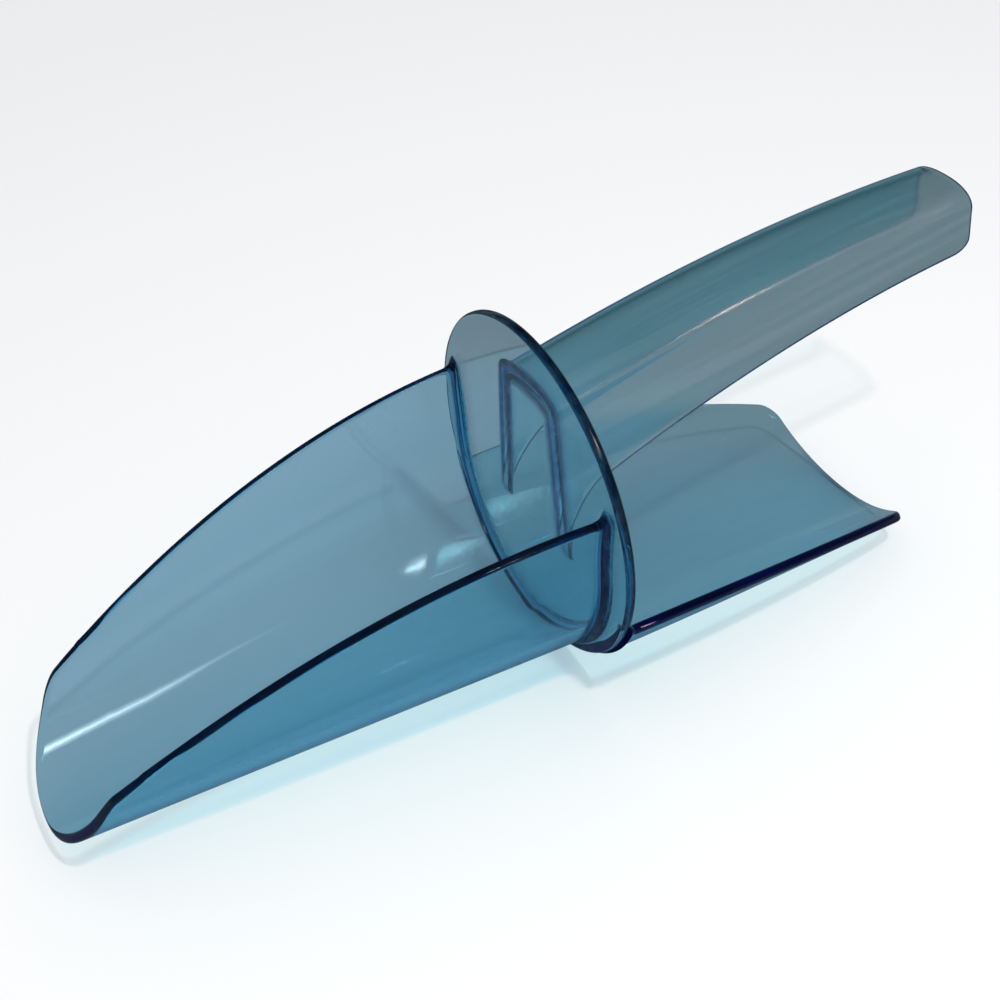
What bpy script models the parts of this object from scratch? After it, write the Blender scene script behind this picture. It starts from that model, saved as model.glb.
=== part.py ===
"""Hand scoop for ice: open bowl, round guard disc, channel handle and knuckle
guard, moulded in clear tinted plastic and welded together through the disc.

Metres, +Z up.  X runs along the scoop: the bowl's lip points to -X and the
handle to +X, and the scoop stands on z = 0.  Every piece but the disc is built
from its mid-surface, then thickened.  Dimensions along X are taken from the
disc's front face; the root empty then brings the middle of the scoop's length
to x = 0.

Curves are tuples of coefficients in rising powers of x.  Heights in them are
over the disc's centre.  On a section, u runs from 0 at the middle to +-1 at
the two edges.
"""
import math

import bmesh
import bpy

# ---------------------------------------------------------------- dimensions
GAP = 0.0003            # weld line left open between neighbouring pieces
AXIS_Z = 0.0735         # height of the disc's centre over the resting plane

DISC_R = 0.0700         # guard disc radius
DISC_T = 0.0039         # guard disc thickness
DISC_EDGE = 0.0015      # rounding of the disc's rim
DISC_EDGE_STEPS = 3
DISC_SEGMENTS = 96
FREE_ANGLE = 26.25      # the free front segment's ends, degrees up from level

BOWL_T = 0.0040         # bowl wall
BOWL_ROUND = 0.0014     # rounding of the bowl's open edges
RIM_W = (0.05726, 0.070, -0.2429)           # rim half-width
RIM_H = (0.02352, -0.017, -1.5429, 0.4082)  # rim height
BELLY_W = (0.05474, 0.058, -0.2429)         # half-width where the wall turns
BELLY_RATIO = 1.077                         # bottom depth / belly half-width
BOTTOM_H = (-0.06447, -0.034, -0.1271)      # bottom line
LIP_X = -0.20770        # lip's foremost point
LIP_SWEEP_Y2 = 8.514    # the lip sweeps back with y^2
LIP_SWEEP_Y4 = 5883.0   # ... and with y^4
LIP_CORNER = 0.0055     # rounding where rim and lip meet
LIP_SHARE = 0.105       # share of the half section that rounding takes

BOWL_FOOT = 0.0029      # bowl collar's wall beside its slot, at the disc
HANDLE_FOOT = 0.0016    # handle collar's wall beside its slot, at the disc
COLLAR_EDGE = 0.0006    # ... and at a collar's free edge
COLLAR_DEEP = 0.0042    # how far a collar stands off the disc
COLLAR_SUNK = -0.25     # first row's stand-off, as a share of COLLAR_DEEP
BOWL_OVER = 0.0046      # bowl collar's ends above the rim, at the disc
HANDLE_OVER = 0.0022    # handle collar's ends below the legs, at the disc
OVER_EDGE = 0.0006      # both of these at a collar's free edge
SLOT_CLEAR = 0.0005     # clearance in the handle collar's sloping slot
BOWL_SLOT_X = (0.0020, -0.0080)     # ends of the cutter for the bowl's slot
HANDLE_SLOT_X = (-0.0020, 0.0150)   # ends of the cutter for the handle's slot

HANDLE_T = 0.0036       # handle wall
HANDLE_END = 0.1966     # rear end of the handle
HANDLE_TOP = (0.0483, 0.254, -0.6857)       # crown line
HANDLE_LOW = (0.0014, 0.393, -0.8571)       # lower edge line
HANDLE_W = (0.01981, -0.012)                # outer half-width at the shoulder
HANDLE_DRAFT = 0.075    # legs open by this much per unit of depth
HANDLE_CROWN = 0.0091   # shoulder depth under the crown
HANDLE_POWER = 2.4      # squareness of the crown
HANDLE_CORNER = 0.0085  # rounding of the rear lower corners
SHOULDER_U = 0.60       # u at the shoulder
LEG_SHARE = 0.11        # share of the half section the corner rounding takes
GUSSET_LONG = 0.0210    # the legs deepen over this length at the disc
GUSSET_DEEP = 0.0185    # ... by this much
GUSSET_POWER = 2.2      # ... at this power of the nearness to the disc
HANDLE_ROUND = 0.0012

GUARD_T = 0.0040        # knuckle guard wall
GUARD_W = (0.06181, 0.057, -1.0429)         # half-width between its edges
GUARD_EDGE_H = (-0.0294, 0.022, -1.1857)    # edge line
GUARD_LOW = (-0.06797, -0.002, -0.1286)     # bottom line
GUARD_END = 0.15687     # rear edge at the middle
GUARD_SWEEP_Y2 = -1.714  # the rear edge sweeps forward with y^2
GUARD_CORNER = 0.0075   # rounding of the rear corners
GUARD_SHARE = 0.13      # share of the half section that rounding takes
GUARD_FILLET = 0.0045   # the edges rise into the disc over this length
GUARD_LIFT = 0.0040     # ... by this much along the section
GUARD_ROUND = 0.0014

ORIGIN_X = -0.5 * (LIP_X + HANDLE_END)      # the disc's front face along X
FRONT_X = -GAP
REAR_X = DISC_T + GAP
# Planes the pieces are rooted in: place along X, direction away from the disc.
FRONT = (FRONT_X, -1)
REAR = (REAR_X, 1)
ROOT_EXTRA = 0.0020     # a root is lofted past its plane, then squared off
TRIM_BLOCK = (0.02, 0.20, 0.20)     # block that squares off a root

# --------------------------------------------------------------- mesh detail
BOWL_ROWS = 20
BOWL_PLAIN_STEPS = 13   # even steps before the bowl's corner
BELLY_STEPS = 40        # steps of the traced section, bottom to belly
FLARE_STEPS = 16        # ... and belly to rim
LIP_PASSES = 30         # repeats that settle the lip's sweep
CROWN_STEPS = 9
LEG_STEPS = 3
GUARD_PLAIN_STEPS = 10
CORNER_STEPS = 4
HOLLOW_STEPS = 4
SLOT_STEPS = 3
ROUND_STEPS = 2
ROUND_ANGLE = 50        # edges sharper than this are rounded, degrees
SHARP_ANGLE = 32        # edges sharper than this shade sharp, degrees
MERGE_DISTANCE = 0.00001
LEVEL_TOLERANCE = 1e-5

# Rows from root to rear end, as shares of the length, closer at the root.
HANDLE_STATIONS = [0.12 * i / 5 for i in range(5)] + \
                  [0.12 + 0.88 * i / 16 for i in range(17)]
GUARD_STATIONS = [0.0, 0.012, 0.024] + \
                 [0.04 + 0.96 * i / 12 for i in range(13)]

# ----------------------------------------------------------------- materials
ALPHA = 0.45
IOR = 1.58
# piece: (material, base colour, roughness)
PLASTICS = {
    "scoop_bowl": ("bowl_plastic", (0.10, 0.27, 0.38), 0.06),
    "bowl_collar": ("bowl_collar_plastic", (0.05, 0.16, 0.27), 0.08),
    "guard_disc": ("disc_plastic", (0.12, 0.28, 0.37), 0.06),
    "handle_channel": ("handle_plastic", (0.09, 0.22, 0.31), 0.08),
    "handle_collar": ("handle_collar_plastic", (0.05, 0.15, 0.25), 0.08),
    "knuckle_guard": ("guard_plastic", (0.10, 0.26, 0.36), 0.07),
}

# --------------------------------------------------------------------- scene
for leftover in list(bpy.data.objects):
    bpy.data.objects.remove(leftover, do_unlink=True)

scoop_collection = bpy.data.collections.new("ice_scoop")
cutter_collection = bpy.data.collections.new("cutters")
for collection in (scoop_collection, cutter_collection):
    bpy.context.scene.collection.children.link(collection)
cutter_collection.hide_render = True


# ------------------------------------------------------- curves and sections
def curve(coefficients, x):
    return sum(k * x ** i for i, k in enumerate(coefficients))


def line_length(points):
    return sum(math.dist(a, b) for a, b in zip(points, points[1:]))


def point_along(points, share):
    """Point at the given share of a polyline's length."""
    run = [0.0]
    for a, b in zip(points, points[1:]):
        run.append(run[-1] + math.dist(a, b))
    want = share * run[-1]
    k = 0
    while k < len(points) - 2 and run[k + 1] < want:
        k += 1
    t = (want - run[k]) / (run[k + 1] - run[k])
    return tuple(p + (q - p) * t for p, q in zip(points[k], points[k + 1]))


def spread(plain_steps, corner_share):
    """Shares 0..1: even, then packed round the last corner_share."""
    start = 1.0 - corner_share
    even = [start * i / plain_steps for i in range(plain_steps)]
    packed = [start + corner_share * math.sin(0.5 * math.pi * i / CORNER_STEPS)
              for i in range(CORNER_STEPS + 1)]
    return even + packed


def mirrored(half):
    return [-u for u in reversed(half[1:])] + half


def corner_pull(u, share):
    """0 along the end, rising to 1 round the quarter circle at its corner."""
    start = 1.0 - share
    if abs(u) <= start:
        return 0.0
    t = (abs(u) - start) / share
    return 1.0 - math.sqrt(max(0.0, 1.0 - t * t))


def nearness(x, reach):
    """1 at the disc's rear side, falling to 0 at the given reach."""
    return min(1.0, max(0.0, 1.0 - (x - REAR_X) / reach))


# ------------------------------------------------------------- mesh building
def mesh_object(name, bm):
    mesh = bpy.data.meshes.new(name)
    bm.to_mesh(mesh)
    bm.free()
    return bpy.data.objects.new(name, mesh)


def sheet(name, rows):
    """Open surface lofted through rows of points."""
    bm = bmesh.new()
    grid = [[bm.verts.new(p) for p in row] for row in rows]
    for a, b in zip(grid, grid[1:]):
        for j in range(len(a) - 1):
            bm.faces.new((a[j], a[j + 1], b[j + 1], b[j]))
    bmesh.ops.recalc_face_normals(bm, faces=bm.faces[:])
    return mesh_object(name, bm)


def thicken(ob, thickness, row_shares=None, even=True):
    """Give the sheet a wall; row_shares scale it row by row."""
    wall = ob.modifiers.new("wall", "SOLIDIFY")
    if row_shares:
        group = ob.vertex_groups.new(name="thick")
        per_row = len(ob.data.vertices) // len(row_shares)
        for i, share in enumerate(row_shares):
            row = list(range(i * per_row, (i + 1) * per_row))
            group.add(row, share, "REPLACE")
        wall.vertex_group = "thick"
    wall.thickness = thickness
    wall.offset = 0.0
    wall.use_even_offset = even
    wall.use_quality_normals = True
    wall.use_rim = True


def soften(ob, width, steps=ROUND_STEPS):
    bevel = ob.modifiers.new("edge", "BEVEL")
    bevel.width = width
    bevel.segments = steps
    bevel.limit_method = "ANGLE"
    bevel.angle_limit = math.radians(ROUND_ANGLE)
    bevel.use_clamp_overlap = True
    bevel.harden_normals = False


def subtract(ob, cutter):
    cutter_collection.objects.link(cutter)
    cutter.hide_render = True
    cutter.display_type = "WIRE"
    cut = ob.modifiers.new("slot", "BOOLEAN")
    cut.operation = "DIFFERENCE"
    cut.solver = "EXACT"
    cut.object = cutter


def trim(ob, face):
    """Square off a root so that it ends flat in the face's plane."""
    x, away = face
    bm = bmesh.new()
    bmesh.ops.create_cube(bm, size=1.0)
    bmesh.ops.scale(bm, vec=TRIM_BLOCK, verts=bm.verts[:])
    bmesh.ops.translate(bm, vec=(x - away * 0.5 * TRIM_BLOCK[0], 0.0, AXIS_Z),
                        verts=bm.verts[:])
    subtract(ob, mesh_object(ob.name + "_trim", bm))


def bake(ob):
    """Apply the modifier stack and leave one clean mesh."""
    depsgraph = bpy.context.evaluated_depsgraph_get()
    depsgraph.update()
    mesh = bpy.data.meshes.new_from_object(ob.evaluated_get(depsgraph))
    ob.modifiers.clear()
    sheet_mesh = ob.data
    ob.data = mesh
    mesh.name = ob.name
    bpy.data.meshes.remove(sheet_mesh)
    bm = bmesh.new()
    bm.from_mesh(mesh)
    bmesh.ops.remove_doubles(bm, verts=bm.verts[:], dist=MERGE_DISTANCE)
    bmesh.ops.recalc_face_normals(bm, faces=bm.faces[:])
    bm.to_mesh(mesh)
    bm.free()


def make_shell(name, point, face, ends, us, stations, wall, rounding):
    """Walled piece lofted from its root at the disc to its end at each u."""
    x, away = face
    root = x - away * ROOT_EXTRA
    rows = [[point(root + s * (end - root), u) for u, end in zip(us, ends)]
            for s in stations]
    shell = sheet(name, rows)
    scoop_collection.objects.link(shell)
    thicken(shell, wall)
    soften(shell, rounding)
    trim(shell, face)
    bake(shell)
    return shell


# --------------------------------------------------------------------- bowl
BOWL_US = mirrored(spread(BOWL_PLAIN_STEPS, LIP_SHARE))


def bowl_half(x, top_extra=0.0):
    """Half section of the bowl at x, bottom centre to rim."""
    belly = curve(BELLY_W, x)
    deep = BELLY_RATIO * belly
    belly_z = curve(BOTTOM_H, x) + deep
    rim = curve(RIM_H, x)
    top = rim + top_extra
    end = 0.5 * math.pi
    if top < belly_z:
        end = math.acos((belly_z - top) / deep)
    angles = [end * i / BELLY_STEPS for i in range(BELLY_STEPS + 1)]
    points = [(belly * math.sin(a), belly_z - deep * math.cos(a))
              for a in angles]
    if top > belly_z:
        flare = curve(RIM_W, x) - belly
        far = (top - belly_z) / (rim - belly_z)
        points += [(belly + flare * (far * i / FLARE_STEPS) ** 2,
                    belly_z + (top - belly_z) * i / FLARE_STEPS)
                   for i in range(1, FLARE_STEPS + 1)]
    return points


def bowl_point(x, u, top_extra=0.0):
    """u is the share of the half section's length up to the plain rim; only
    the edge points, at u = +-1, rise by top_extra."""
    half = bowl_half(x, top_extra)
    share = abs(u)
    if share < 1.0:
        share *= line_length(bowl_half(x)) / line_length(half)
    y, z = point_along(half, share)
    return (x, math.copysign(y, u), z + AXIS_Z)


def lip_x(u):
    """The sweep depends on y, which depends on x, so x is found by repeats."""
    x = LIP_X
    for _ in range(LIP_PASSES):
        y = point_along(bowl_half(x), abs(u))[0]
        x = LIP_X + LIP_SWEEP_Y2 * y ** 2 + LIP_SWEEP_Y4 * y ** 4
    return x + LIP_CORNER * corner_pull(u, LIP_SHARE)


def make_bowl():
    return make_shell("scoop_bowl", bowl_point, FRONT,
                      ends=[lip_x(u) for u in BOWL_US], us=BOWL_US,
                      stations=[i / BOWL_ROWS for i in range(BOWL_ROWS + 1)],
                      wall=BOWL_T, rounding=BOWL_ROUND)


# ------------------------------------------------------------------- handle
HANDLE_US = mirrored(
    [SHOULDER_U * i / CROWN_STEPS for i in range(CROWN_STEPS)]
    + [SHOULDER_U + (1.0 - SHOULDER_U - LEG_SHARE) * i / LEG_STEPS
       for i in range(LEG_STEPS)]
    + [1.0 - LEG_SHARE * (1.0 - math.sin(0.5 * math.pi * i / CORNER_STEPS))
       for i in range(CORNER_STEPS + 1)])


def handle_point(x, u, low_extra=0.0, section_x=None):
    """Mid-section at x: u is 0 at the crown's centre, SHOULDER_U at the
    shoulder and 1 at the leg's lower edge.  With section_x, the section found
    there is carried to x along the crown line."""
    section_x = x if section_x is None else section_x
    half_wall = 0.5 * HANDLE_T
    top = curve(HANDLE_TOP, section_x) - half_wall
    shoulder = curve(HANDLE_W, section_x) - half_wall
    drop = HANDLE_CROWN - half_wall
    gusset = GUSSET_DEEP * nearness(section_x, GUSSET_LONG) ** GUSSET_POWER
    low = curve(HANDLE_LOW, section_x) - low_extra - gusset
    share = abs(u)
    if share < SHOULDER_U:
        angle = 0.5 * math.pi * share / SHOULDER_U
        power = 2.0 / HANDLE_POWER
        y = shoulder * math.sin(angle) ** power
        z = top - drop + drop * math.cos(angle) ** power
    else:
        t = (share - SHOULDER_U) / (1.0 - SHOULDER_U)
        depth = (top - drop - low) * t
        y = shoulder + HANDLE_DRAFT * depth
        z = top - drop - depth
    rise = curve(HANDLE_TOP, x) - curve(HANDLE_TOP, section_x)
    return (x, math.copysign(y, u), z + rise + AXIS_Z)


def handle_root_point(x, u, low_extra):
    return handle_point(x, u, low_extra, REAR_X)


def make_handle():
    ends = [HANDLE_END - HANDLE_CORNER * corner_pull(u, LEG_SHARE)
            for u in HANDLE_US]
    return make_shell("handle_channel", handle_point, REAR, ends=ends,
                      us=HANDLE_US, stations=HANDLE_STATIONS,
                      wall=HANDLE_T, rounding=HANDLE_ROUND)


# ------------------------------------------------------------ knuckle guard
def guard_point(x, u):
    """The section is a circular arc through both edges and the bottom."""
    half_width = curve(GUARD_W, x)
    low = curve(GUARD_LOW, x)
    rise = curve(GUARD_EDGE_H, x) - low
    radius = (half_width * half_width + rise * rise) / (2.0 * rise)
    lift = GUARD_LIFT * nearness(x, GUARD_FILLET) ** 2
    angle = (math.asin(half_width / radius) + lift / radius) * u
    return (x, radius * math.sin(angle),
            low + radius - radius * math.cos(angle) + AXIS_Z)


def guard_end(u):
    y = guard_point(GUARD_END, u)[1]
    return GUARD_END + GUARD_SWEEP_Y2 * y * y \
        - GUARD_CORNER * corner_pull(u, GUARD_SHARE)


def make_guard():
    us = mirrored(spread(GUARD_PLAIN_STEPS, GUARD_SHARE))
    return make_shell("knuckle_guard", guard_point, REAR,
                      ends=[guard_end(u) for u in us], us=us,
                      stations=GUARD_STATIONS,
                      wall=GUARD_T, rounding=GUARD_ROUND)


# ------------------------------------------------------------------ collars
def hollow_profile():
    """(stand-off, fatness) pairs along a quarter-round hollow: one goes from
    0 to 1 while the other goes from 1 to 0."""
    angles = [0.5 * math.pi * (1.0 - i / HOLLOW_STEPS)
              for i in range(HOLLOW_STEPS + 1)]
    return [(1.0 - math.sin(a), 1.0 - math.cos(a)) for a in angles]


def make_collar(name, point, face, us, wall, clear, foot, over,
                slot_name, slot_x, slot_extra, even=True):
    """Socket on the disc's face with hollow, fillet-like sides and a slot in
    which a root of the given wall stands."""
    root, away = face
    slot_width = wall + 2 * clear
    full = slot_width + 2 * foot
    rows = []
    shares = []
    for off, fat in [(COLLAR_SUNK, 1.0)] + hollow_profile():
        extra = OVER_EDGE + (over - OVER_EDGE) * fat
        side = COLLAR_EDGE + (foot - COLLAR_EDGE) * fat
        rows.append([point(root + away * COLLAR_DEEP * off, u, extra)
                     for u in us])
        shares.append((slot_width + 2 * side) / full)
    collar = sheet(name, rows)
    scoop_collection.objects.link(collar)
    thicken(collar, full, shares, even)
    trim(collar, face)

    start, end = slot_x
    slot = sheet(slot_name, [
        [point(start + (end - start) * i / SLOT_STEPS, u, slot_extra)
         for u in us] for i in range(SLOT_STEPS + 1)])
    thicken(slot, slot_width)
    subtract(collar, slot)
    bake(collar)
    return collar


def make_bowl_collar():
    """U-shaped; closes over the bowl's rim ends."""
    return make_collar("bowl_collar", bowl_point, FRONT, BOWL_US,
                       wall=BOWL_T, clear=GAP, foot=BOWL_FOOT, over=BOWL_OVER,
                       slot_name="bowl_slot", slot_x=BOWL_SLOT_X,
                       slot_extra=GAP)


def make_handle_collar():
    """Arch-shaped, round the handle's root."""
    return make_collar("handle_collar", handle_root_point, REAR, HANDLE_US,
                       wall=HANDLE_T, clear=SLOT_CLEAR, foot=HANDLE_FOOT,
                       over=HANDLE_OVER, slot_name="handle_slot",
                       slot_x=HANDLE_SLOT_X, slot_extra=2 * SLOT_CLEAR,
                       even=False)


# --------------------------------------------------------------- guard disc
def make_disc():
    """Built flat, then turned so that local -Z faces front and -X is up."""
    bm = bmesh.new()
    bmesh.ops.create_cone(bm, cap_ends=True, cap_tris=False,
                          segments=DISC_SEGMENTS, radius1=DISC_R,
                          radius2=DISC_R, depth=DISC_T)
    # A split line sets off the front face's free segment over the bowl's rims.
    level = DISC_R * math.sin(math.radians(FREE_ANGLE))
    ends = [v for v in bm.verts
            if v.co.z < 0.0 and abs(-v.co.x - level) < LEVEL_TOLERANCE]
    bmesh.ops.connect_verts(bm, verts=ends)
    disc = mesh_object("guard_disc", bm)
    scoop_collection.objects.link(disc)
    disc.rotation_euler = (0.0, 0.5 * math.pi, 0.0)
    disc.location = (0.5 * DISC_T, 0.0, AXIS_Z)
    soften(disc, DISC_EDGE, DISC_EDGE_STEPS)
    bake(disc)
    return disc


# ------------------------------------------------------------------- finish
def make_plastic(name, colour, roughness):
    plastic = bpy.data.materials.new(name)
    plastic.use_nodes = True
    inputs = plastic.node_tree.nodes["Principled BSDF"].inputs
    inputs["Base Color"].default_value = (*colour, 1.0)
    inputs["Roughness"].default_value = roughness
    inputs["Alpha"].default_value = ALPHA
    inputs["IOR"].default_value = IOR
    plastic.diffuse_color = (*colour, ALPHA)
    return plastic


def finish(ob):
    """Give the piece its plastic and its shading."""
    ob.data.materials.clear()
    ob.data.materials.append(make_plastic(*PLASTICS[ob.name]))
    ob.select_set(True)
    bpy.context.view_layer.objects.active = ob
    bpy.ops.object.shade_smooth()
    ob.data.set_sharp_from_angle(angle=math.radians(SHARP_ANGLE))
    ob.select_set(False)


pieces = [make_bowl(), make_bowl_collar(), make_disc(),
          make_handle(), make_handle_collar(), make_guard()]

scoop_root = bpy.data.objects.new("ice_scoop", None)
scoop_collection.objects.link(scoop_root)
scoop_root.location = (ORIGIN_X, 0.0, 0.0)
for piece in pieces:
    finish(piece)
    piece.parent = scoop_root

for cutter in cutter_collection.objects:
    cutter.hide_set(True)
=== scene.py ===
"""Looks of a clear tinted plastic ice scoop, on a pale floor in soft light.

The scoop lies along X. An upright disc stands at x = 0 to DISC_T; the bowl, open
towards +Z, runs from it towards -X, and the handle, a channel open downwards,
towards +X with the trough-shaped knuckle guard below it. Y = 0 is the plane of
symmetry. Pieces are built with the disc's -X face at x = 0 and moved to ORIGIN_X.
"""

import math
from functools import partial
from typing import Callable, NamedTuple

import bmesh
import bpy
import numpy as np
from mathutils import Matrix, Vector
from mathutils.geometry import delaunay_2d_cdt


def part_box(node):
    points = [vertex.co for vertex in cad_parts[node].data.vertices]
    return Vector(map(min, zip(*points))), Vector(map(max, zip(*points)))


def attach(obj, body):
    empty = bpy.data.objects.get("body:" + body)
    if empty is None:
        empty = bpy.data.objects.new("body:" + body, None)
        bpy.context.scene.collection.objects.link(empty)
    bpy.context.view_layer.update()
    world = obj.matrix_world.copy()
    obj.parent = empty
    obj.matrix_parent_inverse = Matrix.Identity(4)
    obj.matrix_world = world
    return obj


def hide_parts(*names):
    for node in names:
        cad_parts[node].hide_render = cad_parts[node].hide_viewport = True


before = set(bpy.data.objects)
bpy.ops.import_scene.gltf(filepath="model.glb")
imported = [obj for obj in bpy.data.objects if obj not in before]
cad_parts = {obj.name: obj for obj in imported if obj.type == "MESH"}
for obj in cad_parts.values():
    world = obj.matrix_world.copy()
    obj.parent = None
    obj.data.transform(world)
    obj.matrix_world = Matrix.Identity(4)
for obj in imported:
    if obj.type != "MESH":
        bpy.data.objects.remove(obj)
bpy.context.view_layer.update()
ORIGIN_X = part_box("guard_disc")[0].x

# ------------------------------------------------------------- dimensions
# Profiles along the scoop are polynomials in x, lowest power first, giving
# half widths or heights above the disc's centre. A HALF is half a wall's
# thickness, an EDGE the radius that rounds its open edges, and a SHARE a part
# of the half section's length.
AXIS_Z = 0.0735                             # height of the disc's centre
DISC_R, DISC_T, DISC_EDGE = 0.0700, 0.0039, 0.0015
SEAM = 0.00006                              # gap left between pieces
FRONT_X, REAR_X = -SEAM, DISC_T + SEAM      # roots on the disc's -X and +X faces
COLLAR_DEEP = 0.0042                        # reach of a root collar along X

BOWL_HALF, BOWL_EDGE = 0.0020, 0.0016
RIM_WIDTH = (0.05726, 0.070, -0.2429)
RIM_HEIGHT = (0.02352, -0.017, -1.5429, 0.4082)
BELLY_WIDTH = (0.05474, 0.058, -0.2429)
BELLY_RATIO = 1.077                         # belly depth over its half width
BOTTOM_HEIGHT = (-0.06447, -0.034, -0.1271)
LIP_X = -0.20770                            # tip of the bowl
LIP_CURVE = (8.514, 5883.0)                 # sweep of the lip with y^2 and y^4
LIP_CORNER, LIP_SHARE = 0.0055, 0.105

HANDLE_HALF, HANDLE_EDGE = 0.0018, 0.0013
HANDLE_END = 0.1966
HANDLE_TOP = (0.0483, 0.254, -0.6857)
HANDLE_LOW = (0.0014, 0.393, -0.8571)
HANDLE_WIDTH = (0.01981, -0.012)
HANDLE_DRAFT = 0.075                        # outward lean of the legs
HANDLE_CROWN, HANDLE_POWER = 0.0091, 2.4    # height and superellipse power
HANDLE_CORNER, LEG_SHARE, SHOULDER_SHARE = 0.0085, 0.11, 0.60
GUSSET_LONG, GUSSET_DEEP, GUSSET_POWER = 0.0210, 0.0185, 2.2

GUARD_HALF, GUARD_EDGE = 0.0020, 0.0016
GUARD_WIDTH = (0.06181, 0.057, -1.0429)
GUARD_EDGE_HEIGHT = (-0.0294, 0.022, -1.1857)
GUARD_LOW = (-0.06797, -0.002, -0.1286)
GUARD_END, GUARD_END_CURVE = 0.15687, -1.714    # x at y = 0, sweep with y^2
GUARD_CORNER, GUARD_SHARE = 0.0075, 0.13
GUARD_FILLET, GUARD_WIDEN = 0.0045, 0.0040  # its edges lengthen at the disc
GUARD_FLARE, FLARE_LONG = 0.0011, 0.0032    # its wall thickens at the disc

# rows of a wall next to its root, as distances from it
BOWL_ROOT_ROWS = (0.0, 0.0014, 0.0028, COLLAR_DEEP, 0.0054, 0.0068)
HANDLE_ROOT_ROWS = (0.0, 0.0014, 0.0028, COLLAR_DEEP, 0.0056, 0.0070, 0.0086,
                    0.0104, 0.0124, 0.0146, 0.0170, 0.0196, 0.0224)
GUARD_ROOT_ROWS = (0.0, 0.0005, 0.0010, 0.0016, 0.0023, 0.0032, 0.0045, 0.0062)

SHELL_EDGE_STEPS, OUTLINE_EDGE_STEPS = 5, 8     # steps in each quarter round
COLLAR_STEPS = 9
COLLAR_LIP = 0.00012                        # least thickness of a collar
LEAST_TILT = 0.12                           # bounds the stretch of slanted edges
DISC_SEGMENTS, DISC_EDGE_STEPS = 320, 7
FACE_INSET = 0.0003                         # flat band inside the disc's rounding
CROSS_SECTION = np.array([0.0, 1.0, 1.0])   # keeps a vector's part across X

EYE = np.array([-3.0353 * DISC_R, -5.7654 * DISC_R,
                5.3463 * DISC_R + AXIS_Z])  # the camera, with the disc at x = 0


class Face(NamedTuple):
    corners: tuple
    weld: bool = False                      # inside a welded joint
    rim: bool = False                       # on a rounded open edge
    flat: bool = False                      # flat shaded


class Wall(NamedTuple):
    """A curved wall growing from the disc."""
    middle: Callable                        # mid-surface points at x, across
    end: Callable                           # x of the far end at across
    across: np.ndarray                      # columns, -1..1 along the section
    root: float                             # x of the root
    away: int                               # direction of growth along X
    half: float
    edge: float
    weld_depth: float = 0.0
    flare: float = 0.0


# ---------------------------------------------------------------- helpers
def polynomial(coefficients, x):
    return sum(k * x ** i for i, k in enumerate(coefficients))


def spread(plain, corner_steps, corner_share):
    """Fractions 0..1: even, then packed round the last corner_share."""
    start = 1.0 - corner_share
    even = [start * i / plain for i in range(plain)]
    packed = [start + corner_share * math.sin(0.5 * math.pi * i / corner_steps)
              for i in range(corner_steps + 1)]
    return even + packed


def mirrored(half):
    return np.array([-value for value in reversed(half[1:])] + list(half))


def corner_pull(across, share):
    """0, rising as a quarter circle to 1 over the last share at each side."""
    t = np.clip((np.abs(across) - (1.0 - share)) / share, 0.0, 1.0)
    return 1.0 - np.sqrt(1.0 - t * t)


def smooth_step(t):
    t = np.clip(t, 0.0, 1.0)
    return t * t * (3.0 - 2.0 * t)


def unit(vector):
    return vector / np.linalg.norm(vector)


def unit_rows(vectors):
    return vectors / np.linalg.norm(vectors, axis=1)[:, None]


def edge_profile(steps):
    """Side (+1 or -1) and angle of each point round an open edge."""
    angles = [0.5 * math.pi * k / steps for k in range(1, steps + 1)]
    return [(+1, t) for t in angles] + [(-1, t) for t in reversed(angles)]


# ---------------------------------------------------------- mid-surfaces
def bowl_section(x):
    """Half the bowl's section: y, height and length run from the bottom."""
    width = polynomial(BELLY_WIDTH, x)
    deep = BELLY_RATIO * width
    centre = polynomial(BOTTOM_HEIGHT, x) + deep
    rim = polynomial(RIM_HEIGHT, x)
    turn = 0.5 * math.pi if rim >= centre else math.acos((centre - rim) / deep)
    turns = np.linspace(0.0, 1.0, 220)
    y = width * np.sin(turn * turns)
    z = centre - deep * np.cos(turn * turns)
    if rim > centre:                        # sides above the belly
        up = np.linspace(0.0, 1.0, 50)[1:]
        wide = polynomial(RIM_WIDTH, x) - width
        y = np.concatenate([y, width + wide * up ** 2])
        z = np.concatenate([z, centre + (rim - centre) * up])
    run = np.concatenate([[0.0], np.cumsum(np.hypot(np.diff(y), np.diff(z)))])
    return y, z, run


def bowl_middle(x, across):
    """across is the share of the half section's length, less the edge's
    rounding."""
    points = np.zeros((len(x), 3))
    for k in range(len(x)):
        station, side = float(x[k]), float(across[k])
        y, z, run = bowl_section(station)
        want = abs(side) * (run[-1] - BOWL_EDGE)
        points[k] = (station, math.copysign(np.interp(want, run, y), side),
                     np.interp(want, run, z) + AXIS_Z)
    return points


def bowl_end(across):
    x = np.full(len(across), LIP_X)
    for _ in range(14):                     # settle x and y on the lip's curve
        y = bowl_middle(x, across)[:, 1]
        x = LIP_X + LIP_CURVE[0] * y ** 2 + LIP_CURVE[1] * y ** 4
    return x + BOWL_EDGE + (LIP_CORNER - BOWL_EDGE) * corner_pull(across, LIP_SHARE)


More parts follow.
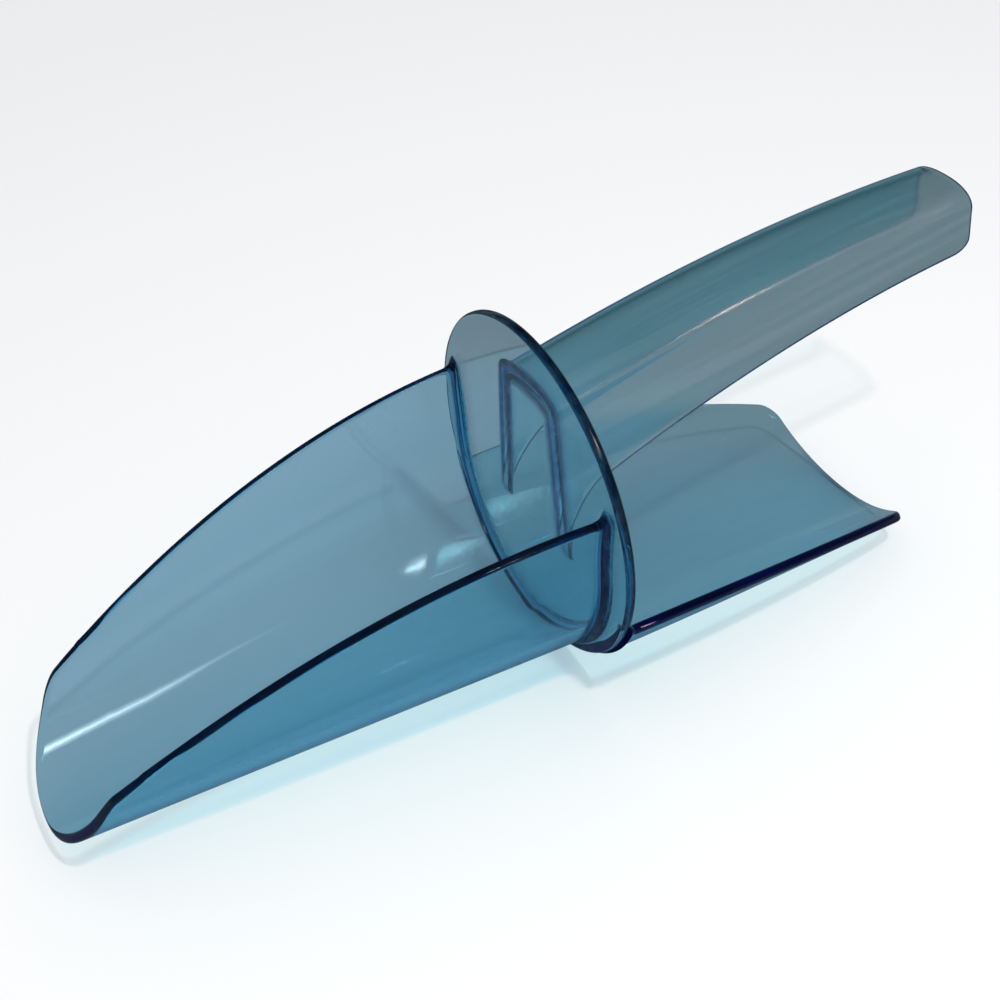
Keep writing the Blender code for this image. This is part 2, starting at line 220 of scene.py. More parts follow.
def handle_middle(x, across):
    """A superelliptic crown between two leaning legs, deeper at the disc."""
    top = polynomial(HANDLE_TOP, x) - HANDLE_HALF
    width = polynomial(HANDLE_WIDTH, x) - HANDLE_HALF
    drop = HANDLE_CROWN - HANDLE_HALF
    near = np.clip(1.0 - (x - REAR_X) / GUSSET_LONG, 0.0, 1.0)
    low = polynomial(HANDLE_LOW, x) - GUSSET_DEEP * near ** GUSSET_POWER + HANDLE_EDGE
    share = np.abs(across)
    angle = 0.5 * math.pi * np.clip(share / SHOULDER_SHARE, 0.0, 1.0)
    power = 2.0 / HANDLE_POWER
    crown_y = width * np.sin(angle) ** power
    crown_z = top - drop + drop * np.cos(angle) ** power
    leg = np.clip((share - SHOULDER_SHARE) / (1.0 - SHOULDER_SHARE), 0.0, 1.0)
    deep = (top - drop - low) * leg
    on_crown = share < SHOULDER_SHARE
    y = np.where(on_crown, crown_y, width + HANDLE_DRAFT * deep)
    z = np.where(on_crown, crown_z, top - drop - deep)
    return np.stack([x, np.copysign(y, across), z + AXIS_Z], 1)


def handle_end(across):
    return HANDLE_END - HANDLE_EDGE - (HANDLE_CORNER - HANDLE_EDGE) \
        * corner_pull(across, LEG_SHARE)


def guard_middle(x, across):
    """A circular arc through the guard's bottom and its two edges."""
    width = polynomial(GUARD_WIDTH, x)
    low = polynomial(GUARD_LOW, x)
    rise = polynomial(GUARD_EDGE_HEIGHT, x) - low
    near = np.clip(1.0 - (x - REAR_X) / GUARD_FILLET, 0.0, 1.0)
    radius = (width * width + rise * rise) / (2.0 * rise)
    ratio = np.clip(width / radius, -1.0, 1.0)
    sweep = np.where(rise < radius, np.arcsin(ratio), math.pi - np.arcsin(ratio))
    angle = (sweep + (GUARD_WIDEN * near ** 2 - GUARD_EDGE) / radius) * across
    return np.stack([x, radius * np.sin(angle),
                     low + radius - radius * np.cos(angle) + AXIS_Z], 1)


def guard_end(across):
    y = guard_middle(np.full(len(across), GUARD_END), across)[:, 1]
    return GUARD_END + GUARD_END_CURVE * y * y - GUARD_EDGE \
        - (GUARD_CORNER - GUARD_EDGE) * corner_pull(across, GUARD_SHARE)


def surface_frames(middle, x, across):
    """Points of a mid-surface, their unit normals, and the offsets across X
    that move them by one unit of wall."""
    step_x, step_across = 2e-4, 2e-3
    points = middle(x, across)
    along = middle(x + step_x, across) - middle(x - step_x, across)
    sideways = middle(x, np.clip(across + step_across, -1, 1)) \
        - middle(x, np.clip(across - step_across, -1, 1))
    normals = unit_rows(np.cross(along, sideways))
    level = normals * CROSS_SECTION
    offsets = level / (level ** 2).sum(1)[:, None]
    return points, normals, offsets


def half_thickness(wall, x):
    near = np.clip(1.0 - np.abs(x - wall.root) / FLARE_LONG, 0.0, 1.0)
    return wall.half + wall.flare * near ** 2


# ------------------------------------------------------------ mesh making
def as_object(name, verts, faces, sharp=38.0):
    mesh = bpy.data.meshes.new(name)
    mesh.from_pydata([tuple(v) for v in verts], [], [face.corners for face in faces])
    bm = bmesh.new()
    bm.from_mesh(mesh)
    bmesh.ops.recalc_face_normals(bm, faces=bm.faces[:])
    bm.to_mesh(mesh)
    bm.free()
    mesh.transform(Matrix.Translation((ORIGIN_X, 0.0, 0.0)))
    mesh.polygons.foreach_set("use_smooth", [not face.flat for face in faces])
    mesh.set_sharp_from_angle(angle=math.radians(sharp))
    for mark in ("weld", "rim"):
        attribute = mesh.attributes.new(mark, "FLOAT", "FACE")
        attribute.data.foreach_set(
            "value", [1.0 if getattr(face, mark) else 0.0 for face in faces])
    return link_object(name, mesh)


def link_object(name, data):
    obj = bpy.data.objects.new(name, data)
    bpy.context.scene.collection.objects.link(obj)
    return obj


def edge_directions(wall, edge_points, edge_normals, centre):
    """Directions out of a wall's open edge, turned across X near the root."""
    tangents = np.zeros_like(edge_points)
    tangents[1:-1] = edge_points[2:] - edge_points[:-2]
    tangents[0] = edge_points[1] - edge_points[0]
    tangents[-1] = edge_points[-1] - edge_points[-2]
    outward = np.cross(unit_rows(tangents), edge_normals)
    middle = len(edge_points) // 2
    if np.dot(outward[middle], edge_points[middle] - centre) < 0:
        outward = -outward
    outward = unit_rows(outward)
    level = outward * CROSS_SECTION
    level = level / np.maximum((level ** 2).sum(1), LEAST_TILT)[:, None]
    turn_from, turn_length = 0.004, 0.012   # distances from the root
    distance = np.abs(edge_points[:, 0] - wall.root)
    mix = 1.0 - smooth_step((distance - turn_from) / turn_length)
    return outward * (1 - mix)[:, None] + level * mix[:, None]


def shell(name, wall, root_rows, rows):
    """A wall with rounded open edges, cut square at its root."""
    columns = len(wall.across)
    ends = wall.end(wall.across)
    start = wall.root + wall.away * root_rows[-1]
    row_xs = [np.full(columns, wall.root + wall.away * row) for row in root_rows]
    row_xs += [start + (ends - start) * i / rows for i in range(1, rows + 1)]
    count = len(row_xs)
    x = np.concatenate(row_xs)
    points, normals, offsets = surface_frames(wall.middle, x, np.tile(wall.across, count))
    half = half_thickness(wall, x)
    verts = list(points + offsets * half[:, None]) \
        + list(points - offsets * half[:, None])
    other = len(points)                     # first index of the second side
    welded = (wall.weld_depth > 0) \
        & (np.abs(x - wall.root) <= wall.weld_depth + 1e-7)

    faces = []
    for i in range(count - 1):
        for j in range(columns - 1):
            quad = (i * columns + j, i * columns + j + 1,
                    (i + 1) * columns + j + 1, (i + 1) * columns + j)
            weld = all(welded[k] for k in quad)
            faces.append(Face(quad, weld))
            faces.append(Face(tuple(other + k for k in reversed(quad)), weld))

    # the open edge: out along one side, across the end and back
    path = [i * columns for i in range(count)] \
        + [(count - 1) * columns + j for j in range(1, columns)] \
        + [i * columns + columns - 1 for i in range(count - 2, -1, -1)]
    edge_points = points[path]
    outward = edge_directions(wall, edge_points, normals[path], points.mean(0))
    edge_half, edge_offsets = half[path][:, None], offsets[path]
    strips = []
    for side, t in edge_profile(SHELL_EDGE_STEPS):
        strips.append(len(verts))
        verts += list(
            edge_points
            + side * edge_offsets * (edge_half - wall.edge + wall.edge * math.cos(t))
            + outward * wall.edge * math.sin(t))
    arcs = [[path[k]] + [strip + k for strip in strips] + [other + path[k]]
            for k in range(len(path))]
    for k in range(len(path) - 1):
        weld = welded[path[k]] and welded[path[k + 1]]
        here, following = arcs[k], arcs[k + 1]
        for c in range(len(here) - 1):
            corners = (here[c], here[c + 1], following[c + 1], following[c])
            faces.append(Face(corners, weld, rim=True))

    # the root's cut
    faces += [Face((j, j + 1, other + j + 1, other + j), weld=True)
              for j in range(columns - 1)]
    faces += [Face(tuple(arcs[0]), weld=True), Face(tuple(arcs[-1]), weld=True)]
    return as_object(name, verts, faces)


def outline(wall, x):
    """Closed outline of a wall's section at one x: points, outward normals,
    and how far each lies round an open edge, 0 on the wall to 1."""
    points, normals, offsets = surface_frames(
        wall.middle, np.full(len(wall.across), x), wall.across)
    level = unit_rows(normals * CROSS_SECTION)
    half = half_thickness(wall, x)

    def cap(j, neighbour):
        """The rounding at column j, from the normals' side to the other."""
        step = 4e-4
        near = wall.middle(np.array([x - step, x + step]),
                           np.array([wall.across[j], wall.across[j]]))
        outward = np.cross(unit(near[1] - near[0]), normals[j])
        if np.dot(outward, points[j] - points[neighbour]) < 0:
            outward = -outward
        outward = outward * CROSS_SECTION
        outward /= max(LEAST_TILT, float((outward ** 2).sum()))
        direction = unit(outward)
        entries = []
        for side, t in edge_profile(OUTLINE_EDGE_STEPS):
            point = points[j] \
                + side * offsets[j] * (half - wall.edge + wall.edge * math.cos(t)) \
                + outward * wall.edge * math.sin(t)
            normal = side * level[j] * math.cos(t) + direction * math.sin(t)
            entries.append((point, unit(normal), math.sin(t)))
        return entries

    one_side = [(p, n, 0.0) for p, n in zip(points + offsets * half, level)]
    other_side = [(p, n, 0.0) for p, n in zip(points - offsets * half, -level)]
    loop = one_side + cap(-1, -2) + other_side[::-1] + cap(0, 1)[::-1]
    return tuple(np.array(column) for column in zip(*loop))


def collar(name, wall, feet, over):
    """A hollow-sided ring welded to a wall's root and to the disc. feet are
    its reach on the side the normals point to, its reach on the other side,
    and what is added to the first where that side looks up; over is its
    reach past the open edges. Also returns its outline on the disc."""
    main, other, lift = feet
    mean = 0.5 * (main + other)
    turns = [0.5 * math.pi * (1.0 - i / COLLAR_STEPS) for i in range(COLLAR_STEPS + 1)]
    fillet = [(1.0 - math.sin(t), 1.0 - math.cos(t)) for t in turns]
    rings = []
    for stand, fat in fillet:               # shares of the depth and the reach
        points, normals, turn = outline(wall, wall.root + wall.away
                                        * wall.weld_depth * stand)
        first = np.arange(len(points)) < len(wall.across) + OUTLINE_EDGE_STEPS
        upward = normals[:, 2]
        foot = np.where(first, main, other) + np.where(
            first, lift * np.clip(upward / 0.5, 0.0, 1.0),
            -0.3 * lift * np.clip(upward + 1.0, 0.0, 1.0))
        foot = np.where(turn > 0.0, mean + (foot - mean) * (1.0 - turn), foot)
        reach = foot + (over - foot) * turn ** 2
        distance = SEAM + COLLAR_LIP + (reach - COLLAR_LIP) * fat
        rings.append(points + normals * distance[:, None])
    for stand in (1.0, 0.66, 0.33, 0.0):    # back along the wall
        points, normals, _ = outline(wall, wall.root + wall.away
                                     * wall.weld_depth * stand)
        rings.append(points + normals * SEAM)

    size, faces = len(rings[0]), []
    for k in range(len(rings)):
        after = (k + 1) % len(rings)
        for i in range(size):
            i2 = (i + 1) % size
            faces.append(Face((k * size + i, k * size + i2,
                               after * size + i2, after * size + i),
                              weld=k >= len(fillet)))
    verts = [v for ring in rings for v in ring]
    return as_object(name, verts, faces, sharp=50.0), rings[0][:, 1:3]


def inside_loop(point, loop):
    x, y = point
    start_x, start_y = loop[:, 0], loop[:, 1]
    stop_x, stop_y = np.roll(start_x, -1), np.roll(start_y, -1)
    crosses = (start_y > y) != (stop_y > y)
    with np.errstate(divide="ignore", invalid="ignore"):
        at = (stop_x - start_x) * (y - start_y) / (stop_y - start_y) + start_x
    return bool(np.count_nonzero(crosses & (x < at)) % 2)


def disc_rim(angles, ring_radius, inner_radius, front_loops, rear_loops):
    """The disc's turned rim, from the edge of one flat face to the other."""
    profile = [(0.0, inner_radius), (0.0, ring_radius)]
    for k in range(1, DISC_EDGE_STEPS + 1):
        t = 0.5 * math.pi * k / DISC_EDGE_STEPS
        profile.append((DISC_EDGE * (1 - math.cos(t)),
                        ring_radius + DISC_EDGE * math.sin(t)))
    profile += [(DISC_T - x, radius) for x, radius in reversed(profile)]
    verts = [(x, radius * math.cos(a), radius * math.sin(a) + AXIS_Z)
             for x, radius in profile for a in angles]
    faces = []
    count = len(angles)
    weld_skin = 0.0008                      # depth of the faces a weld can cover
    for k in range(len(profile) - 1):
        middle_x = 0.5 * (profile[k][0] + profile[k + 1][0])
        radius = 0.5 * (profile[k][1] + profile[k + 1][1])
        loops = front_loops if middle_x < 0.5 * DISC_T else rear_loops
        near = min(middle_x, DISC_T - middle_x) < weld_skin
        for i in range(count):
            i2 = (i + 1) % count
            a = 0.5 * (angles[i] + angles[i] + 2 * math.pi / count)
            centre = (radius * math.cos(a), radius * math.sin(a) + AXIS_Z)
            faces.append(Face(
                (k * count + i, k * count + i2, (k + 1) * count + i2, (k + 1) * count + i),
                near and any(inside_loop(centre, loop) for loop in loops), rim=True))
    return verts, faces


def add_disc_face(verts, faces, first, x, loops, angles, radius):
    """Fill one flat face, split along the loops; its border is the ring of
    vertices that begins at first."""
    count = len(angles)
    points = [Vector((radius * math.cos(a), radius * math.sin(a) + AXIS_Z))
              for a in angles]
    edges = [(i, (i + 1) % count) for i in range(count)]
    margin = 0.0002                         # loop points this near the border go
    for loop in loops:
        ids = {}
        for k, point in enumerate(loop):
            if math.hypot(point[0], point[1] - AXIS_Z) < radius - margin:
                ids[k] = len(points)
                points.append(Vector(point))
        for k in ids:
            k2 = (k + 1) % len(loop)
            if k2 in ids:
                edges.append((ids[k], ids[k2]))
    result = delaunay_2d_cdt(points, edges, [], 0, 1e-7, True)
    flat_points, triangles, origins = result[0], result[2], result[3]
    index = []
    for point, origin in zip(flat_points, origins):
        border = [source for source in origin if source < count]
        if border:
            index.append(first + border[0])
        else:
            index.append(len(verts))
            verts.append((x, point.x, point.y))
    for triangle in triangles:
        centre = sum((flat_points[k] for k in triangle),
                     Vector((0.0, 0.0))) / len(triangle)
        corners = tuple(index[k] for k in triangle)
        if len(set(corners)) < 3:
            continue
        weld = any(inside_loop((centre.x, centre.y), loop) for loop in loops)
        faces.append(Face(corners, weld, flat=True))


def disc_piece(name, front_loops, rear_loops):
    """The disc, its flat faces split along the outlines welded to them."""
    ring_radius = DISC_R - DISC_EDGE
    inner_radius = ring_radius - FACE_INSET
    angles = [2 * math.pi * k / DISC_SEGMENTS for k in range(DISC_SEGMENTS)]
    verts, faces = disc_rim(angles, ring_radius, inner_radius, front_loops, rear_loops)
    last_ring = len(verts) - DISC_SEGMENTS
    for first, x, loops in ((0, 0.0, front_loops), (last_ring, DISC_T, rear_loops)):
        add_disc_face(verts, faces, first, x, loops, angles, inner_radius)
    return as_object(name, verts, faces)


# ------------------------------------------------------------- the pieces
def handle_columns():
    """Even over the crown and the legs, packed round the legs' corners."""
    leg = 1.0 - SHOULDER_SHARE - LEG_SHARE
    return mirrored(
        [SHOULDER_SHARE * i / 34 for i in range(34)]
        + [SHOULDER_SHARE + leg * i / 14 for i in range(14)]
        + [1.0 - LEG_SHARE * (1.0 - math.sin(0.5 * math.pi * i / 12))
           for i in range(13)])


bowl_wall = Wall(bowl_middle, bowl_end, mirrored(spread(62, 16, LIP_SHARE)),
                 FRONT_X, -1, BOWL_HALF, BOWL_EDGE, weld_depth=COLLAR_DEEP)
handle_wall = Wall(handle_middle, handle_end, handle_columns(),
                   REAR_X, 1, HANDLE_HALF, HANDLE_EDGE, weld_depth=COLLAR_DEEP)
guard_wall = Wall(guard_middle, guard_end, mirrored(spread(56, 14, GUARD_SHARE)),
                  REAR_X, 1, GUARD_HALF, GUARD_EDGE, flare=GUARD_FLARE)

bowl = shell("bowl_shell", bowl_wall, BOWL_ROOT_ROWS, rows=112)
bowl_collar, bowl_loop = collar("bowl_root_collar", bowl_wall,
                                feet=(0.0029, 0.0029, 0.0), over=0.0046)
handle = shell("handle_shell", handle_wall, HANDLE_ROOT_ROWS, rows=100)
handle_collar, handle_loop = collar("handle_root_collar", handle_wall,
                                    feet=(0.0019, 0.0046, 0.0011), over=0.0022)
guard = shell("knuckle_guard_shell", guard_wall, GUARD_ROOT_ROWS, rows=84)
guard_loop = outline(guard_wall, REAR_X)[0][:, 1:3]
disc = disc_piece("disc_plate", [bowl_loop], [handle_loop, guard_loop])


# ----------------------------------------------------------- shader nodes
def set_inputs(tree, node, inputs):
    """Link the inputs given as sockets, set the others."""
    for key, value in inputs.items():
        if isinstance(value, bpy.types.NodeSocket):
            tree.links.new(value, node.inputs[key])
        else:
            node.inputs[key].default_value = value


def add_node(tree, kind, inputs=None, **settings):
    node = tree.nodes.new("ShaderNode" + kind)
    for key, value in settings.items():
        setattr(node, key, value)
    set_inputs(tree, node, inputs or {})
    return node


def noise(tree, vector, scale, detail, roughness=0.5):
    inputs = {"Scale": scale, "Detail": detail, "Roughness": roughness}
    if vector is not None:
        inputs["Vector"] = vector
    return add_node(tree, "TexNoise", inputs).outputs["Fac"]


def maths(tree, operation, *values):
    return add_node(tree, "Math", dict(enumerate(values)),
                    operation=operation).outputs["Value"]


def map_range(tree, value, source=(0.0, 1.0), target=(0.0, 1.0), smooth=False):
    return add_node(tree, "MapRange", {
        "Value": value, "From Min": source[0], "From Max": source[1],
        "To Min": target[0], "To Max": target[1]},
        interpolation_type="SMOOTHSTEP" if smooth else "LINEAR").outputs["Result"]


def mix(tree, data_type, factor, first, second):
    return add_node(tree, "Mix", {"Factor": factor, "A": first, "B": second},
                    data_type=data_type).outputs["Result"]


def mix_shader(tree, factor, first, second):
    return add_node(tree, "MixShader", {"Fac": factor, 1: first, 2: second}) \
        .outputs["Shader"]


def scaled(tree, vector, scale):
    return add_node(tree, "VectorMath", {0: vector, "Scale": scale},
                    operation="SCALE").outputs["Vector"]


def attribute(tree, name):
    return add_node(tree, "Attribute", attribute_name=name).outputs["Fac"]


def blank_material(name):
    material = bpy.data.materials.new(name)
    material.use_nodes = True
    tree = material.node_tree
    tree.nodes.clear()
    return material, tree, add_node(tree, "OutputMaterial")


# ---------------------------------------------------------------- plastic
# absorption per metre of red, green and blue
CLEAR = (138.0, 28.0, 6.0)
DISC_TINT = (122.0, 40.0, 24.0)
DENSE = (560.0, 400.0, 210.0)               # the thick weld fillets
DENSER = tuple(2.4 * k for k in DENSE)


def worn_mask(tree, place, patches):
    """Hairline scratches, mostly along the scoop, gathered in patches."""
    stretched = add_node(tree, "Mapping", {
        "Vector": place, "Rotation": (0.2, 0.35, 0.25),
        "Scale": (18.0, 700.0, 700.0)}).outputs["Vector"]
    hair = noise(tree, stretched, scale=1.0, detail=3.0)
    return maths(tree, "MULTIPLY", map_range(tree, hair, (0.66, 0.78)),
                 map_range(tree, patches, (0.48, 0.72)))


def moulded_normal(tree, place, wave):
    """Slow waves left by the mould, with a fine skin texture."""
    slow = noise(tree, place, scale=26.0, detail=1.5, roughness=0.4)
    fine = noise(tree, place, scale=900.0, detail=2.0)
    height = maths(tree, "MULTIPLY_ADD", fine, 0.010, slow)
    return add_node(tree, "Bump", {"Strength": 0.30 * wave, "Distance": 0.0007,
                                   "Height": height}).outputs["Normal"]


def haze_share(tree, place, worn, scuff, drawn, near_only):
    """Share of scattering: worn patches and long streaks of strength drawn,
    fainter on the +Y side if near_only, and none on rounded edges."""
    long_way = add_node(tree, "Mapping", {
        "Vector": place, "Rotation": (0.0, -0.12, 0.0),
        "Scale": (0.2, 0.006, 0.006)}, vector_type="TEXTURE").outputs["Vector"]
    lines = map_range(tree, noise(tree, long_way, scale=1.0, detail=2.5),
                      (0.42, 0.72), (0.0, drawn))
    y = add_node(tree, "SeparateXYZ", {"Vector": place}).outputs["Y"]
    side = map_range(tree, y, (0.012, -0.014), (0.25 if near_only else 1.0, 1.0))
    streaks = maths(tree, "MULTIPLY", lines, side)
    share = maths(tree, "MULTIPLY_ADD", worn, 0.10 * scuff, streaks)
    off_rim = map_range(tree, attribute(tree, "rim"), target=(1.0, 0.0))
    return maths(tree, "MULTIPLY", share, off_rim)


def plastic(name, wave, scuff, dull=0.0, absorb=CLEAR, drawn=0.0, near_only=False):
    """Clear tinted plastic: a refracting skin, waved and worn, over an
    absorbing body. A welded joint has no skin of its own."""
    material, tree, output = blank_material(name)
    add = partial(add_node, tree)
    place = add("TexCoord").outputs["Object"]
    patches = noise(tree, place, scale=22.0, detail=3.0)
    worn = worn_mask(tree, place, patches)
    glass = add("BsdfGlass", {
        "IOR": 1.50,
        "Color": mix(tree, "RGBA", patches, (0.98, 0.985, 0.985, 1.0),
                     (1.0, 1.0, 1.0, 1.0)),
        "Roughness": maths(tree, "MULTIPLY_ADD", worn, 0.16 * scuff, 0.012 + dull),
        "Normal": moulded_normal(tree, place, wave)}).outputs["BSDF"]
    haze = add("BsdfDiffuse", {"Color": (0.62, 0.74, 0.80, 1.0)}).outputs["BSDF"]
    seen = mix_shader(tree, haze_share(tree, place, worn, scuff, drawn, near_only),
                      glass, haze)

    # light that reaches the floor goes straight through the skin, but the
    # rounded edges hold most of it back and draw dark lines
    cast = mix(tree, "RGBA", attribute(tree, "rim"), (0.975, 0.955, 0.945, 1.0),
               (0.42, 0.44, 0.47, 1.0))
    straight = add("BsdfTransparent", {"Color": cast}).outputs["BSDF"]
    path = add("LightPath").outputs
    soft = maths(tree, "MAXIMUM", path["Is Shadow Ray"], path["Is Diffuse Ray"])
    skin = mix_shader(tree, soft, seen, straight)
    nothing = add("BsdfTransparent", {"Color": (1.0, 1.0, 1.0, 1.0)}).outputs["BSDF"]
    surface = mix_shader(tree, attribute(tree, "weld"), skin, nothing)

    # the floor's coloured shadow is paler than the body seen directly
    densest = max(absorb) * 1.02
    body = add("VolumeAbsorption", {
        "Density": map_range(tree, soft, target=(densest, 0.40 * densest)),
        "Color": tuple(1.0 - k / densest for k in absorb) + (1.0,)})
    set_inputs(tree, output, {"Surface": surface, "Volume": body.outputs["Volume"]})
    return material


# object, CAD piece it replaces, slot, material and its settings
PIECES = (
    (bowl, "scoop_bowl", "bowl_plastic", "bowl_clear",
     dict(wave=0.35, scuff=1.0, drawn=0.012)),
    (bowl_collar, "bowl_collar", "bowl_collar_plastic", "bowl_collar_clear",
     dict(wave=0.3, scuff=0.6, absorb=DENSE)),
    (disc, "guard_disc", "disc_plastic", "disc_clear",
     dict(wave=0.3, scuff=0.8, drawn=0.07, absorb=DISC_TINT)),
    (handle, "handle_channel", "handle_plastic", "handle_clear",
     dict(wave=0.9, scuff=1.3, dull=0.15, drawn=0.075, near_only=True)),
    (handle_collar, "handle_collar", "handle_collar_plastic", "handle_collar_clear",
     dict(wave=0.3, scuff=0.6, absorb=DENSER)),
    (guard, "knuckle_guard", "guard_plastic", "guard_clear",
     dict(wave=0.5, scuff=1.0, drawn=0.02)))
for piece, cad_name, slot_name, material_name, settings in PIECES:
    piece.data.materials.append(plastic(material_name, **settings))
    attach(piece, "root")
    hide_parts(cad_name)

# ------------------------------------------------------------------ floor
FLOOR_HALF = 4.0
# the floor as the plastic shows it: shares of its own brightness
BACK_NEAR = (0.400, 0.432, 0.505)
BACK_FAR = (0.280, 0.266, 0.276)
BACK_MIRROR = 0.40                          # mirrored rather than seen through
BACK_FROM, BACK_TO = 0.10, 0.27             # where near turns to far
SHADE_CENTRE, SHADE_REACH = (0.06, 0.07), (0.150, 0.140)
SHADE_LEVEL = 0.76                          # brightness at the shade's centre


def floor_material():
    """A matt pale floor. Seen through or mirrored in the plastic it is a grey backdrop,
    and painted shade darkens it towards the far right of the view."""
    material = bpy.data.materials.new("pale_floor")
    material.use_nodes = True
    tree = material.node_tree
    add = partial(add_node, tree)
    pale = mix(tree, "RGBA", noise(tree, None, scale=1.3, detail=2.0),
               (0.80, 0.80, 0.80, 1.0), (0.83, 0.83, 0.825, 1.0))
    place = add("TexCoord").outputs["Object"]
    across = add("VectorMath", {0: place, 1: (1.0, 0.6, 0.0)},
                 operation="DOT_PRODUCT").outputs["Value"]
    # painted shade: the backdrop dims from BACK_NEAR to BACK_FAR across the view
    painted_falloff = map_range(tree, across, (BACK_FROM, BACK_TO), smooth=True)
    backdrop = mix(tree, "VECTOR", painted_falloff, BACK_NEAR, BACK_FAR)
    path = add("LightPath").outputs
    mirror = map_range(tree, path["Is Transmission Ray"], target=(BACK_MIRROR, 1.0))
    # darker where the scoop's shade falls
    gather = add("Mapping", {
        "Vector": place,
        "Location": (-SHADE_CENTRE[0] / SHADE_REACH[0],
                     -SHADE_CENTRE[1] / SHADE_REACH[1], 0.0),
        "Scale": (1 / SHADE_REACH[0], 1 / SHADE_REACH[1], 1.0)}).outputs["Vector"]
    spot = add("TexGradient", {"Vector": gather},
               gradient_type="SPHERICAL").outputs["Fac"]
    shade = map_range(tree, spot, target=(1.0, SHADE_LEVEL), smooth=True)
    shown = scaled(tree, scaled(tree, backdrop, mirror), shade)
    by_plastic = maths(tree, "MAXIMUM", path["Is Glossy Ray"],
                       path["Is Transmission Ray"])
    share = mix(tree, "VECTOR", by_plastic, (1.0, 1.0, 1.0), shown)
    dyed = add("VectorMath", {0: pale, 1: share}, operation="MULTIPLY")
    set_inputs(tree, tree.nodes["Principled BSDF"], {
        "Roughness": 0.9, "Specular IOR Level": 0.0,
        "Base Color": dyed.outputs["Vector"]})
    return material


def build_floor():
    bm = bmesh.new()
    bmesh.ops.create_grid(bm, x_segments=8, y_segments=8, size=FLOOR_HALF)
    mesh = bpy.data.meshes.new("floor")
    bm.to_mesh(mesh)
    bm.free()
    floor = link_object("floor", mesh)
    mesh.materials.append(floor_material())


# ------------------------------------------------------------------ light
SKY_COLOUR = (0.975, 0.985, 1.0, 1.0)
SKY_LOW, SKY_HIGH = 0.26, 0.035             # what the plastic mirrors
SKY_RISE = (0.02, 0.30)                     # heights between the two
SKY_ON_FLOOR = 0.95                         # what lights the floor
SKY_SEEN = 0.76                             # added where the camera sees it


def build_world():
    world = bpy.data.worlds.new("studio")
    bpy.context.scene.world = world
    world.use_nodes = True
    tree = world.node_tree
    add = partial(add_node, tree)
    path = add("LightPath").outputs
    sky = add("TexCoord").outputs["Generated"]
    height = add("SeparateXYZ", {"Vector": sky}).outputs["Z"]
    dusk = map_range(tree, height, SKY_RISE, (SKY_LOW, SKY_HIGH), smooth=True)
    level = map_range(tree, path["Is Diffuse Ray"], target=(dusk, SKY_ON_FLOOR))
    strength = maths(tree, "MULTIPLY_ADD", path["Is Camera Ray"], SKY_SEEN, level)
    set_inputs(tree, tree.nodes["Background"],
               {"Color": SKY_COLOUR, "Strength": strength})


def area_light(name, location, target, size, energy):
    """A soft light on the floor, not mirrored in the plastic."""
    data = bpy.data.lights.new(name, "AREA")
    data.shape = "DISK"
    data.size = size
    data.energy = energy
    light = link_object(name, data)
    light.location = location
    light.rotation_mode = "QUATERNION"
    light.rotation_quaternion = (Vector(target) - Vector(location)) \
        .to_track_quat("-Z", "Y")
    light.visible_glossy = False
    light.visible_transmission = False
    light.visible_camera = False


# Spots on the bowl's inside that mirror a card into the camera:
# x, place across the section, half width across, brightness
STREAK_SPOTS = (
    (-0.2040, 0.640, 0.052, 0.9), (-0.1999, 0.615, 0.052, 1.0),
    (-0.1905, 0.545, 0.046, 0.9), (-0.1812, 0.497, 0.040, 0.75),
    (-0.1694, 0.449, 0.035, 0.65), (-0.1573, 0.415, 0.030, 0.55),
    (-0.1430, 0.395, 0.025, 0.36), (-0.1289, 0.387, 0.018, 0.14),
    (-0.1100, 0.375, 0.014, 0.05), (-0.0900, 0.365, 0.012, 0.0))
LAMP_SPOTS = (
    (-0.0430, 0.334, 0.020, 0.0), (-0.0380, 0.332, 0.040, 0.8),
    (-0.0310, 0.331, 0.044, 1.0), (-0.0240, 0.331, 0.050, 1.0),
    (-0.0170, 0.333, 0.050, 0.8), (-0.0110, 0.336, 0.040, 0.3),
    (-0.0050, 0.340, 0.030, 0.12), (-0.0010, 0.340, 0.020, 0.0))
CARD_HEIGHT = 1.5
CARD_COLUMNS, CARD_ROWS_PER_SPOT = 25, 6
CORE_WIDTH = 0.26                           # of the bright core, in half widths


def card_material(name, strength, hue):
    material, tree, output = blank_material(name)
    glow = maths(tree, "MULTIPLY", attribute(tree, "glow"), strength)
    shine = add_node(tree, "Emission", {"Color": hue + (1.0,), "Strength": glow})
    set_inputs(tree, output, {"Surface": shine.outputs["Emission"]})
    return material


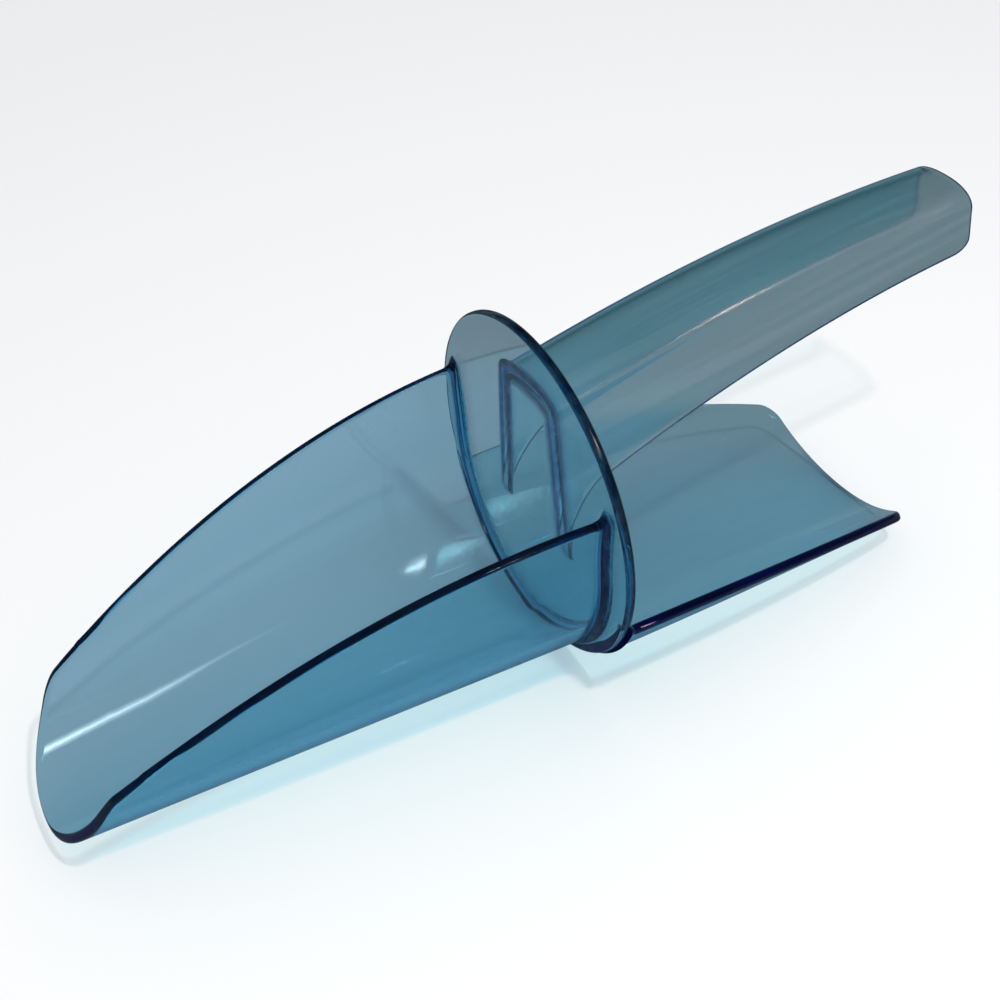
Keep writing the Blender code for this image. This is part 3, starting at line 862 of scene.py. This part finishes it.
def glow_card(name, spots, strength, core, hue=(1.0, 1.0, 1.0)):
    """A softly edged light card at one height, laid out so that the bowl's
    inside mirrors it into the camera at the spots. core is the share of its
    light in a narrow middle line."""
    base = np.arange(len(spots))
    steps = np.linspace(0, len(spots) - 1, CARD_ROWS_PER_SPOT * (len(spots) - 1) + 1)
    xs, across, wide, bright = [np.interp(steps, base, np.array(column))
                                for column in zip(*spots)]
    cuts = np.linspace(-1.0, 1.0, CARD_COLUMNS)
    points, normals, _ = surface_frames(
        bowl_middle, np.repeat(xs, CARD_COLUMNS),
        (across[:, None] + wide[:, None] * cuts[None, :]).ravel())
    skin = points + normals * BOWL_HALF
    to_eye = unit_rows(EYE - skin)
    ray = 2.0 * (normals * to_eye).sum(1)[:, None] * normals - to_eye
    verts = skin + ray * ((CARD_HEIGHT - skin[:, 2]) / ray[:, 2])[:, None]
    profile = (1.0 - core) * (1.0 - cuts ** 2) ** 1.5 \
        + core * np.exp(-(cuts / CORE_WIDTH) ** 2) * (1.0 - cuts ** 2)
    glow = (bright[:, None] * profile[None, :]).ravel()
    faces = [(i * CARD_COLUMNS + j, i * CARD_COLUMNS + j + 1,
              (i + 1) * CARD_COLUMNS + j + 1, (i + 1) * CARD_COLUMNS + j)
             for i in range(len(xs) - 1) for j in range(CARD_COLUMNS - 1)]
    mesh = bpy.data.meshes.new(name)
    mesh.from_pydata([(v[0] + ORIGIN_X, v[1], v[2]) for v in verts], [], faces)
    mesh.attributes.new("glow", "FLOAT", "POINT").data.foreach_set("value", list(glow))
    card = link_object(name, mesh)
    mesh.materials.append(card_material(name + "_light", strength, hue))
    card.visible_camera = False
    card.visible_diffuse = False
    card.visible_shadow = False


build_floor()
build_world()
area_light("fill", location=(-0.3, 0.2, 4.0), target=(0.0, 0.2, 0.0),
           size=3.4, energy=8.0)
area_light("key", location=(0.05, -0.45, 0.90), target=(0.0, 0.0, 0.0),
           size=0.05, energy=3.2)
glow_card("streak_card", STREAK_SPOTS, strength=13.0, core=0.5)
glow_card("lamp_card", LAMP_SPOTS, strength=36.0, core=0.75,
          hue=(1.0, 0.68, 0.62))            # it shines through the disc


# ----------------------------------------------------- camera and render
def build_camera():
    data = bpy.data.cameras.new("camera")
    data.sensor_width = 36.0
    data.lens = 55.188
    data.clip_start = 0.02
    data.clip_end = 20.0
    camera = link_object("camera", data)
    right = Vector((0.8703, -0.4886, -0.0624)).normalized()
    forward = Vector((0.3406, 0.6884, -0.6404)).normalized()
    up = right.cross(forward).normalized()
    right = forward.cross(up).normalized()
    camera.matrix_world = Matrix((
        (right.x, up.x, -forward.x, EYE[0] + ORIGIN_X),
        (right.y, up.y, -forward.y, EYE[1]),
        (right.z, up.z, -forward.z, EYE[2]),
        (0.0, 0.0, 0.0, 1.0)))
    bpy.context.scene.camera = camera


def set_render():
    scene = bpy.context.scene
    scene.view_settings.view_transform = "Standard"
    scene.view_settings.look = "None"
    scene.cycles.max_bounces = 32
    scene.cycles.transmission_bounces = 32
    scene.cycles.glossy_bounces = 16
    scene.cycles.diffuse_bounces = 3
    scene.cycles.transparent_max_bounces = 64


build_camera()
set_render()
